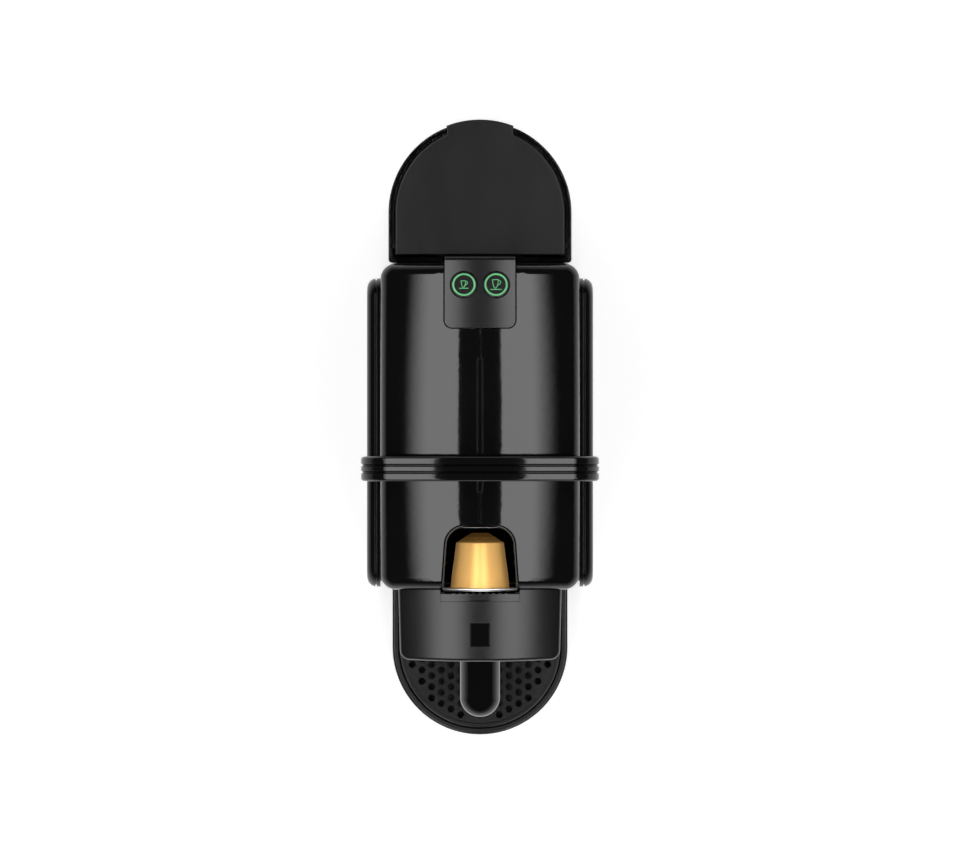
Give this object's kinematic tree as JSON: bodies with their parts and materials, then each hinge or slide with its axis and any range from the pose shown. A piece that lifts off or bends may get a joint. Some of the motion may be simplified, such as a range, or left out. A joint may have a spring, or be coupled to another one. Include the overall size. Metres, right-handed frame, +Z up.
{
  "type": "pod coffee machine",
  "caption": "Narrow black pod coffee machine with a raised hoop lever over a pod slot, outlet head with spout, round-nosed drip tray and smoked rear water tank.",
  "frame": {"origin": "on the surface it stands on, under the middle of the whole machine, lever raised", "axes": "+Z up; +Y towards the water tank; the spout and drip tray face -Y; +X is the user's right when facing the machine from the front"},
  "size_m": [0.1212, 0.3215, 0.256],
  "materials": {
    "gloss_black": "polished moulded surface",
    "satin_black": "fine moulded texture",
    "matte_black": "matte, unpainted",
    "smoked_plastic": "clear smoked plastic",
    "rubber": "matte",
    "silicone": "translucent silicone hose",
    "steel": "stamped and brushed",
    "brass": "turned",
    "cast_aluminium": "die cast",
    "circuit_board": "lacquered board",
    "coil_plastic": "moulded plastic",
    "grey_frame": "glass-filled plastic",
    "cage_plastic": "glass-filled plastic",
    "gold_foil": "drawn aluminium with a gold coat",
    "pale_foil": "thin foil lid",
    "green_light": "lit light guide"
  },
  "bodies": {
    "chassis": {"base_plate": "matte_black", "rubber_feet": "rubber", "left_shell": "gloss_black", "right_shell": "gloss_black", "seam_strip": "gloss_black", "left_side_panel": "gloss_black", "right_side_panel": "gloss_black", "outlet_head": "satin_black", "front_badge": "gloss_black", "coffee_spout": "gloss_black", "coffee_duct": "matte_black", "slot_liner": "gloss_black", "brew_frame": "grey_frame", "brass_bushes": "brass", "guide_rods": "steel", "extraction_plate": "steel", "pod_guide": "matte_black", "control_panel": "satin_black", "inner_bulkhead": "matte_black", "pump_coil": "coil_plastic", "pump_bracket": "steel", "pump_tube": "grey_frame", "pump_mounts": "rubber", "pump_spring": "steel", "thermoblock": "cast_aluminium", "flow_meter_body": "coil_plastic", "circuit_boards": "circuit_board", "electrical_parts": "coil_plastic", "housing_screws": "steel", "water_hoses": "silicone", "wiring_loom": "rubber", "tank_dock": "matte_black", "cord_gland": "rubber"},
    "lever": {"lever_handle": "gloss_black", "lever_caps": "gloss_black", "lever_cranks": "steel"},
    "carriage": {"brew_cage": "cage_plastic", "cage_seal": "silicone", "piercing_plate": "steel", "carriage_yoke": "steel", "feed_tube": "steel"},
    "pod": {"pod_shell": "gold_foil", "pod_foil": "pale_foil"},
    "tank": {"water_tank": "smoked_plastic", "tank_valve_body": "matte_black", "tank_filter": "grey_frame"},
    "lid": {"tank_lid": "satin_black"},
    "valve_plunger": {"tank_valve_plunger": "grey_frame", "tank_valve_spring": "steel"},
    "small_cup_key": {"small_cup_button": "satin_black", "small_cup_light_ring": "green_light"},
    "large_cup_key": {"large_cup_button": "satin_black", "large_cup_light_ring": "green_light"},
    "drip_unit": {"drip_tray": "satin_black", "pod_bin": "matte_black"},
    "cup_shelf": {"cup_support": "satin_black", "drip_grid": "satin_black"},
    "piston": {"pump_piston": "steel"},
    "rotor": {"flow_meter_rotor": "grey_frame"}
  },
  "joints": [
    {"name": "lever_swing", "type": "hinge", "parent": "chassis", "child": "lever", "pos_m": [0, -0.018, 0.152], "axis": [1, 0, 0], "range_deg": [0, 53]},
    {"name": "carriage_slide", "type": "slide", "parent": "chassis", "child": "carriage", "axis": [0, -1, 0], "range_m": [0, 0.0311]},
    {"name": "pod_lift", "type": "slide", "parent": "chassis", "child": "pod", "axis": [0, 0, 1], "range_m": [0, 0.05]},
    {"name": "tank_lift", "type": "slide", "parent": "chassis", "child": "tank", "axis": [0, 0, 1], "range_m": [0, 0.21]},
    {"name": "lid_hinge", "type": "hinge", "parent": "tank", "child": "lid", "pos_m": [0, 0.096, 0.1944], "axis": [1, 0, 0], "range_deg": [0, 85]},
    {"name": "valve_lift", "type": "slide", "parent": "tank", "child": "valve_plunger", "axis": [0, 0, 1], "range_m": [0, 0.0015], "stiffness_N_per_m": 300, "springref_m": -0.001, "deforming": ["tank_valve_spring"]},
    {"name": "small_cup_press", "type": "slide", "parent": "chassis", "child": "small_cup_key", "axis": [0, -0.1995, -0.9799], "range_m": [0, 0.0012], "stiffness_N_per_m": 900, "springref_m": -0.0006},
    {"name": "large_cup_press", "type": "slide", "parent": "chassis", "child": "large_cup_key", "axis": [0, -0.1995, -0.9799], "range_m": [0, 0.0012], "stiffness_N_per_m": 900, "springref_m": -0.0006},
    {"name": "drip_unit_slide", "type": "slide", "parent": "chassis", "child": "drip_unit", "axis": [0, -1, 0], "range_m": [0, 0.13]},
    {"name": "cup_shelf_fold", "type": "hinge", "parent": "drip_unit", "child": "cup_shelf", "pos_m": [0, -0.0875, 0.0334], "axis": [-1, 0, 0], "range_deg": [0, 88]},
    {"name": "piston_stroke", "type": "slide", "parent": "chassis", "child": "piston", "axis": [0, -1, 0], "range_m": [0, 0.003], "stiffness_N_per_m": 1500, "springref_m": -0.0005},
    {"name": "rotor_spin", "type": "hinge", "parent": "chassis", "child": "rotor", "pos_m": [0.018, 0.022, 0.12], "axis": [0, 0, 1], "continuous": true}
  ],
  "couplings": [
    {"joint": "carriage_slide", "follows": "lever_swing", "m_per_rad": 0.033513}
  ]
}
